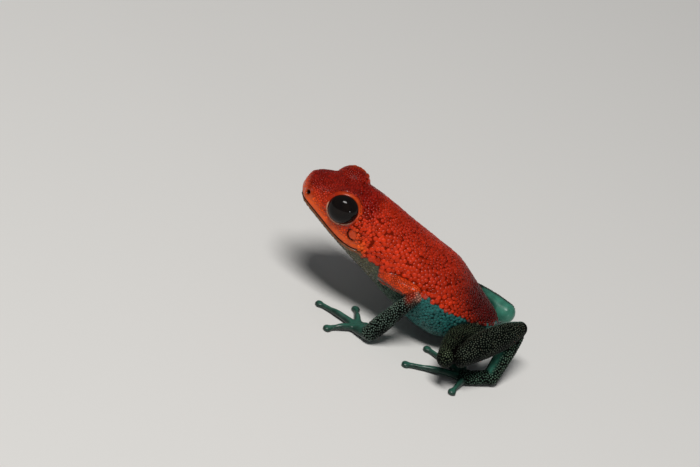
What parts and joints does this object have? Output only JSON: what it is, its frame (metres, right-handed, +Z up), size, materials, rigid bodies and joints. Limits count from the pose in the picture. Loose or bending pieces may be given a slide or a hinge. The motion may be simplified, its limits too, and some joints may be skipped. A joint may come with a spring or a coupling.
{
  "type": "granular poison frog",
  "caption": "Small poison frog at life size, sitting with its chest held high on braced arms, hind legs folded, snout forward.",
  "frame": {"origin": "bottom centre of the whole frog, on the floor it stands on", "axes": "-Y along the snout, +X to the frog's left side, +Z up"},
  "size_m": [0.018, 0.022, 0.0119],
  "materials": {
    "red_skin": "moist granular skin, orange-red above, turquoise low on the flanks",
    "green_skin": "moist granular skin, pale green grains on dark green",
    "eye": "glossy black"
  },
  "bodies": {
    "root": {"head": "red_skin", "torso": "red_skin", "left_eye": "eye", "left_upper_arm": "red_skin", "left_forearm": "green_skin", "left_hand": "green_skin", "left_thigh": "green_skin", "left_shank": "green_skin", "left_tarsus": "green_skin", "left_foot": "green_skin", "right_eye": "eye", "right_upper_arm": "red_skin", "right_forearm": "green_skin", "right_hand": "green_skin", "right_thigh": "green_skin", "right_shank": "green_skin", "right_tarsus": "green_skin", "right_foot": "green_skin"}
  },
  "joints": []
}
